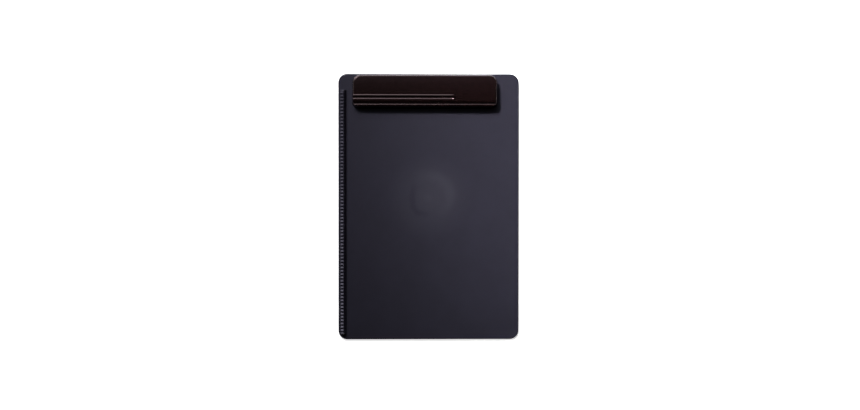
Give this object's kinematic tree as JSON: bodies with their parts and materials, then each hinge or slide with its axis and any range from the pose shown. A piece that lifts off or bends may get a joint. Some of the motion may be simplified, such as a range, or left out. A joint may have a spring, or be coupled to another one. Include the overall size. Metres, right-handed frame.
{
  "type": "clipboard",
  "caption": "Moulded A4 clipboard with a toothed line-gauge rail down its left side and a long, low, sprung plastic clip with a pen channel.",
  "frame": {"origin": "centre of the board's flat back face, on the ground plane when it lies on a table", "axes": "+Z out of the writing face, +Y along the board towards the clip, +X to the right as it is read"},
  "size_m": [0.2326, 0.342, 0.0155],
  "materials": {
    "board_plastic": "fine satin moulded texture",
    "clip_plastic": "fine spark-eroded texture",
    "grip_rubber": "matt",
    "plated_steel": "bright nickel plate",
    "spring_steel": "drawn wire, lightly oiled",
    "sleeve_plastic": "natural acetal"
  },
  "bodies": {
    "board_body": {"board": "board_plastic", "clip_base": "clip_plastic", "hinge_pin_left": "plated_steel", "hinge_pin_right": "plated_steel", "pin_retainer_left": "spring_steel", "pin_retainer_right": "spring_steel", "spring_sleeve_left": "sleeve_plastic", "spring_sleeve_right": "sleeve_plastic", "torsion_spring_left": "spring_steel", "torsion_spring_right": "spring_steel", "base_rivet_1": "plated_steel", "base_rivet_2": "plated_steel", "base_rivet_3": "plated_steel", "base_rivet_4": "plated_steel", "rivet_washer_1": "plated_steel", "rivet_washer_2": "plated_steel", "rivet_washer_3": "plated_steel", "rivet_washer_4": "plated_steel"},
    "lever_body": {"clip_lever": "clip_plastic", "jaw_grip_strip": "grip_rubber"}
  },
  "joints": [
    {"name": "clip_open", "type": "hinge", "parent": "board_body", "child": "lever_body", "pos_m": [-0.005, 0.15, 0.009], "axis": [-1, 0, 0], "range_deg": [0, 15], "stiffness_Nm_per_rad": 0.6, "springref_deg": -25.78, "deforming": ["torsion_spring_left", "torsion_spring_right"]}
  ]
}
